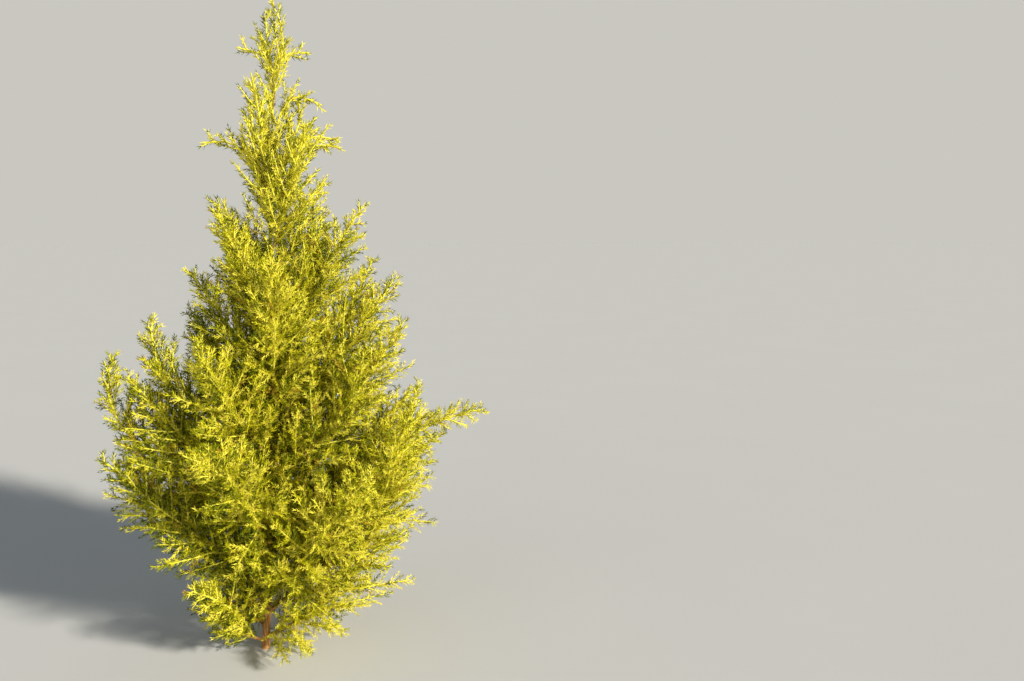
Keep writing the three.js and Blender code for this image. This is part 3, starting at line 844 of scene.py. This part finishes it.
def needles(paths, lengths, light, key, share, size, spreads):
    """Roots, tips, light and growing directions of the needles along a set of axes."""
    axis, number, distance = places_along(lengths, FIRST_PAIR, 0.0, PAIR_GAP / share, key)
    axis, number, distance = (np.repeat(values, 2) for values in (axis, number, distance))
    opposite = np.arange(len(axis)) % 2
    root, forward = along(paths, lengths, axis, distance)
    gone = np.clip(distance / lengths[axis], 0, 1)
    draws = [(axis, key + part + number, opposite) for part in (1, 2, 3)]
    scatter = between(-NEEDLE_ROLL_SCATTER, NEEDLE_ROLL_SCATTER, *draws[0])
    roll = np.radians(number * PAIR_TURN + opposite * 180 + scatter)
    scatter = between(-NEEDLE_SPREAD_SCATTER, NEEDLE_SPREAD_SCATTER, *draws[1])
    spread = spreads[1] - (spreads[1] - spreads[0]) * gone ** NEEDLE_CLOSING
    spread = np.radians(spread + scatter)
    shortened = (NEEDLE_SHORTEST - NEEDLE_LENGTH) * gone ** NEEDLE_SHORTENING
    reach = size * (NEEDLE_LENGTH + shortened) * between(*NEEDLE_SCATTER, *draws[2])
    ends = side_shoots(root, forward, roll, spread, reach, 0 * reach, nod=0, steps=1)[:, 1]
    whole = ends[:, 2] > NEEDLE_GROUND
    return root[whole], ends[whole], light[axis][whole], forward[whole]


def awls(roots, ends, forward):
    """Needles of two faces each, drawn out to a point and folded along the keel."""
    way = ends - roots
    across = unit(np.cross(way, forward))
    through = unit(np.cross(way, across))
    twist = between(-NEEDLE_TWIST, NEEDLE_TWIST, np.arange(len(roots)), TWIST_DRAW)[:, None]
    side = (across * np.cos(twist) + through * np.sin(twist)) * NEEDLE_WIDTH / 2
    keel = (through * np.cos(twist) - across * np.sin(twist)) * NEEDLE_FOLD
    belly = roots + way * WIDEST_AT + keel
    points = np.stack([roots, belly + side, ends, belly - side], axis=1).reshape(-1, 3)
    faces = np.array([[0, 1, 2], [0, 2, 3]])
    return points, (4 * np.arange(len(roots))[:, None, None] + faces).reshape(-1, 3)


twig_light = brightness(twig_paths[:, -1], TWIG_LIGHT_DRAW)
stem_light = brightness(stem_paths[:, -1], STEM_LIGHT_DRAW)
limits = [least for _, least, _, _ in TONES]
bronzed = chance(np.arange(len(sprig_light)), BRONZED_DRAW) < BRONZED_SHARE
bronzed = bronzed & (sprig_light < limits[3])
sprig_light = np.where(bronzed, limits[0], sprig_light)
sets = [
    needles(sprig_paths, sprig_lengths, sprig_light, **SPRIG_NEEDLES),
    needles(twig_paths, twig_lengths, twig_light, **TWIG_NEEDLES),
    needles(stem_paths, stem_lengths, stem_light, **STEM_NEEDLES),
]
roots, ends, light, growing = (np.concatenate(values) for values in zip(*sets))
# Each needle takes its spray's painted tone, from shade up to light.
tone_of = np.digitize(light, limits[1:])
for n, (tone, _, dark, pale) in enumerate(TONES):
    chosen = np.flatnonzero(tone_of == n)
    colour = plain_growth(f"{tone}_needle", dark, pale, roughness=0.42, grain=260.0)
    parts = np.array_split(chosen, 1 + len(chosen) * NEEDLE_FACES // MOST_TRIANGLES)
    for m, part in enumerate(parts):
        points, faces = awls(roots[part], ends[part], growing[part])
        dress(f"{tone}_needles_{m + 1}", points, faces, colour, smooth=False)


# Floor, lights and camera: a pale seamless floor that fades into an equally pale horizon,
# a soft warm key from the front right, a weak fill from the left, and less light from above.
FLOOR_SIZE = 80
KEY_FROM = (0.75, -1.0, 0.62)
FILL_FROM = (-1.0, -0.6, 0.45)
HORIZON = (0.583, 0.573, 0.528)
OVERHEAD = (0.17, 0.20, 0.23)
HORIZON_UP_TO = 0.28
OVERHEAD_FROM = 0.48
CAMERA_PLACE = (0.0, -1.2387, 0.6693)
CAMERA_TURN = 18.891
CAMERA_TILT = 8.0
CAMERA_LENS = 27.04
SENSOR_WIDTH = 36
NEAREST_SEEN = 0.01

bpy.ops.object.select_all(action="DESELECT")
bpy.ops.mesh.primitive_plane_add(size=FLOOR_SIZE)
floor = bpy.context.object
floor.name = "floor"
floor_paint, wire, shader = new_material("pale_floor", 1.0, 0.0)
place = wire.node("ShaderNodeTexCoord", {}, {}, "Object")
mottle = wire.node("ShaderNodeTexNoise", {}, {"Vector": place, "Scale": 3.0, "Detail": 3.0})
paint = wire.mixed(mottle, (0.555, 0.55, 0.54, 1), (0.575, 0.57, 0.56, 1))
join_up(paint, shader.inputs["Base Color"])
floor.data.materials.append(floor_paint)


def far_light(name, source, spread, strength, colour):
    """A broad light from far off, the same all over the floor."""
    lamp = bpy.data.lights.new(name, "SUN")
    lamp.angle = math.radians(spread)
    lamp.energy = strength
    lamp.color = colour
    holder = bpy.data.objects.new(name, lamp)
    bpy.context.collection.objects.link(holder)
    level = math.hypot(source[0], source[1])
    turn = math.atan2(source[1], source[0]) + math.pi / 2
    holder.rotation_euler = (math.atan2(level, source[2]), 0, turn)


far_light("key", KEY_FROM, spread=5, strength=5.4, colour=(1.0, 0.95, 0.84))
far_light("fill", FILL_FROM, spread=60, strength=0.4, colour=(0.80, 0.92, 1.0))
sky = bpy.data.worlds.new("pale_sky")
sky.use_nodes = True
wire = Wire(sky.node_tree.nodes)
direction = wire.node("ShaderNodeTexCoord", {}, {}, "Generated")
height = wire.node("ShaderNodeSeparateXYZ", {}, {"Vector": direction}, "Z")
glow = wire.node("ShaderNodeValToRGB", {"stops": [
    (HORIZON_UP_TO, HORIZON), (OVERHEAD_FROM, OVERHEAD),
]}, {"Fac": height})
join_up(glow, sky.node_tree.nodes["Background"].inputs["Color"])
bpy.context.scene.world = sky
bpy.context.scene.view_settings.view_transform = "Standard"

camera = bpy.data.cameras.new("photo_camera")
camera.lens = CAMERA_LENS
camera.sensor_width = SENSOR_WIDTH
camera.sensor_fit = "HORIZONTAL"
camera.clip_start = NEAREST_SEEN
holder = bpy.data.objects.new("photo_camera", camera)
bpy.context.collection.objects.link(holder)
holder.location = CAMERA_PLACE
holder.rotation_euler = (math.radians(90 - CAMERA_TILT), 0, -math.radians(CAMERA_TURN))
bpy.context.scene.camera = holder
